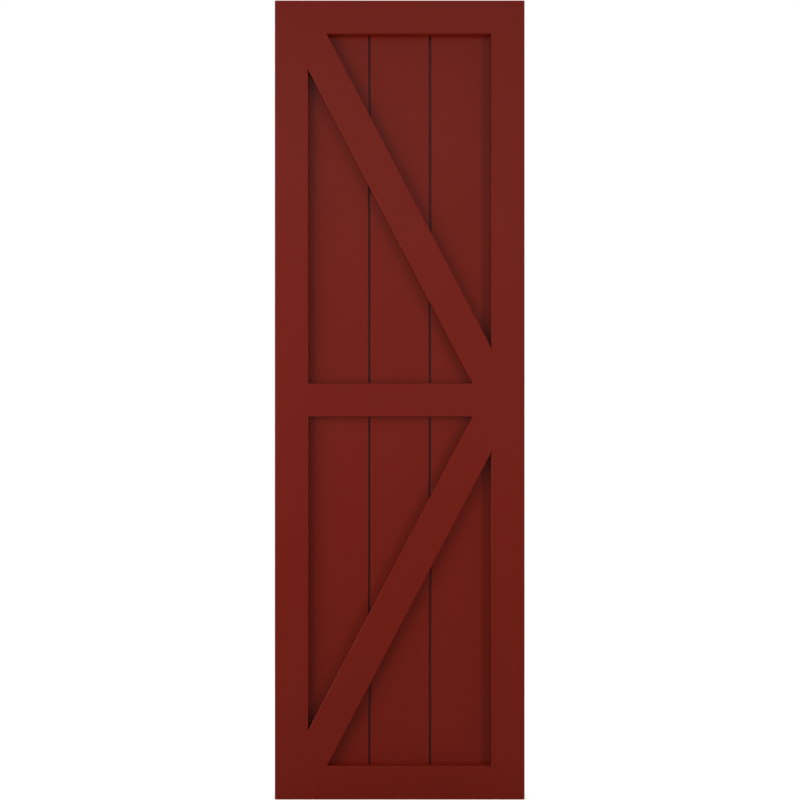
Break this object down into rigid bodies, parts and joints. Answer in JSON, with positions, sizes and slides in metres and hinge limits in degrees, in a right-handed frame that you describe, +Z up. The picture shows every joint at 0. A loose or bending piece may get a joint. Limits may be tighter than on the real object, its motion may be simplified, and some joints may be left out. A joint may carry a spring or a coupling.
{
  "type": "farmhouse shutter",
  "caption": "Tall narrow wall shutter: a stile-and-rail frame round spaced vertical boards, with a diagonal brace across each panel, painted red.",
  "frame": {"origin": "middle of the back, in the plane that lies on the wall", "axes": "+Z up along the shutter's height, +X to the right as seen from the front, +Y into the wall; the front looks towards -Y"},
  "size_m": [0.381, 0.0254, 1.2192],
  "materials": {
    "frame_paint": "satin red paint on cellular PVC trim board",
    "board_paint": "satin red paint on cellular PVC board",
    "staple_steel": "plain stainless steel"
  },
  "bodies": {
    "root": {"left_stile": "frame_paint", "right_stile": "frame_paint", "top_rail": "frame_paint", "middle_rail": "frame_paint", "bottom_rail": "frame_paint", "upper_brace": "frame_paint", "lower_brace": "frame_paint", "upper_left_board": "board_paint", "upper_centre_board": "board_paint", "upper_right_board": "board_paint", "lower_left_board": "board_paint", "lower_centre_board": "board_paint", "lower_right_board": "board_paint", "board_staples": "staple_steel", "brace_staples": "staple_steel"}
  },
  "joints": []
}
